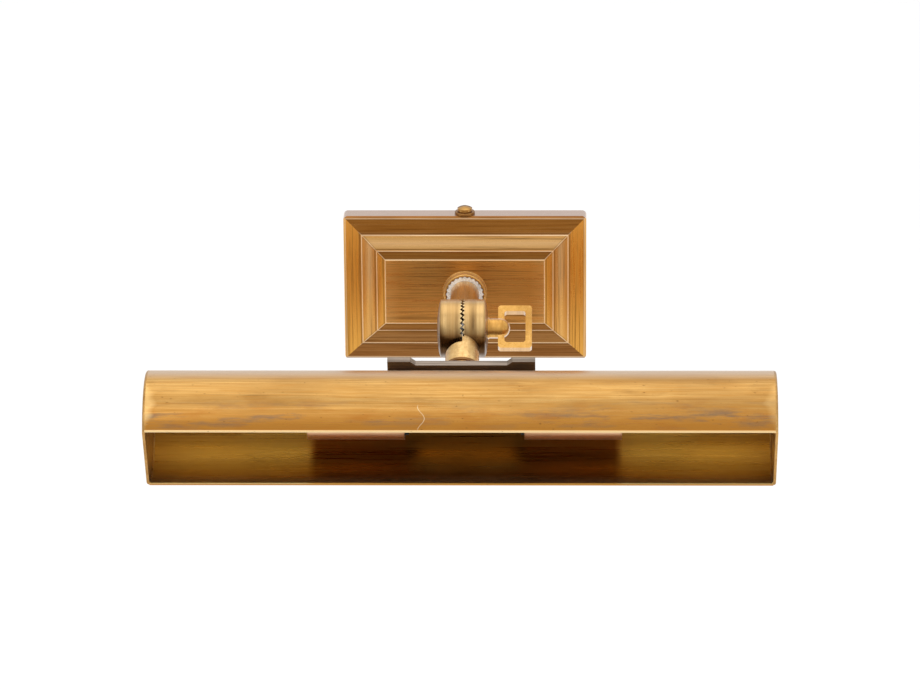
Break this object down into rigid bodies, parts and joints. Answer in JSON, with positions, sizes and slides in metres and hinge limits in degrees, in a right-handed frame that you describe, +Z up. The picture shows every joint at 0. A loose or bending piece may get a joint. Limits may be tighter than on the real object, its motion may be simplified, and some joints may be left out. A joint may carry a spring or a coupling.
{
  "type": "picture light",
  "caption": "Wall-mounted picture light with a stepped brass plate, a short arm, a toothed tilting knuckle locked by a thumbscrew key, and a long trough shade over tubular lamps.",
  "frame": {"origin": "midpoint of the bracket's two fixing slots, on the wall plane at the centre of the wall plate's back", "axes": "+Y into the wall, -Y out of it towards the viewer, +Z up, +X along the shade to the viewer's right"},
  "size_m": [0.352, 0.1782, 0.1157],
  "materials": {
    "plate_brass": "aged, brushed along each side",
    "shade_brass": "aged, brushed along its length",
    "turned_brass": "aged, brushed around its axis",
    "tube_brass": "dark patina",
    "dark_brass": "dark patina",
    "saddle_brass": "unpolished, dark patina",
    "plain_brass": "plain turned brass",
    "bright_steel": "bright, serrated",
    "zinc_steel": "zinc plated",
    "block_plastic": "cream moulding",
    "black_phenolic": "black moulding",
    "wire_cover": "cream insulation",
    "lamp_metal": "rolled thread",
    "lamp_glass": "clear",
    "lamp_stem": "clear stem with a bare filament"
  },
  "bodies": {
    "root": {"wall_plate": "plate_brass", "mounting_bracket": "zinc_steel", "cap_screw": "turned_brass", "cap_collar": "dark_brass", "arm_ferrule": "turned_brass", "arm_lock_ring": "bright_steel", "arm_nipple": "plain_brass", "arm_washer": "zinc_steel", "arm_nut": "plain_brass", "arm_tube": "tube_brass", "fixed_knuckle_half": "turned_brass", "terminal_block": "block_plastic", "terminal_screws": "plain_brass", "earth_screw": "plain_brass", "arm_wires": "wire_cover"},
    "clamp": {"clamp_washer": "turned_brass"},
    "key": {"clamp_key": "turned_brass", "clamp_stud": "zinc_steel"},
    "head": {"moving_knuckle_half": "turned_brass", "neck_ring": "dark_brass", "neck_socket": "turned_brass", "neck_nipple": "plain_brass", "neck_nut": "plain_brass", "saddle_plate": "saddle_brass", "saddle_screws": "zinc_steel", "shade_body": "shade_brass", "end_cap_left": "shade_brass", "end_cap_right": "shade_brass", "lampholder_bracket": "zinc_steel", "lampholder_nipples": "plain_brass", "lampholder_nuts": "plain_brass", "lampholder_core_left": "black_phenolic", "lampholder_core_right": "black_phenolic", "lampholder_shell_left": "plain_brass", "lampholder_shell_right": "plain_brass", "lampholder_contact_left": "plain_brass", "lampholder_contact_right": "plain_brass", "lampholder_sleeve_left": "tube_brass", "lampholder_sleeve_right": "tube_brass", "lamp_base_left": "lamp_metal", "lamp_base_right": "lamp_metal", "lamp_glass_left": "lamp_glass", "lamp_glass_right": "lamp_glass", "lamp_filament_left": "lamp_stem", "lamp_filament_right": "lamp_stem", "head_wires": "wire_cover"}
  },
  "joints": [
    {"name": "head_tilt", "type": "hinge", "parent": "root", "child": "head", "pos_m": [0, -0.081, 0], "axis": [1, 0, 0], "range_deg": [-60, 70]},
    {"name": "clamp_slide", "type": "slide", "parent": "root", "child": "clamp", "axis": [1, 0, 0], "range_m": [0, 0.002]},
    {"name": "key_turn", "type": "hinge", "parent": "clamp", "child": "key", "pos_m": [0.015, -0.081, 0], "axis": [1, 0, 0], "range_deg": [0, 720]}
  ],
  "couplings": [
    {"joint": "key_turn", "follows": "clamp_slide", "rad_per_m": 6283.2}
  ]
}
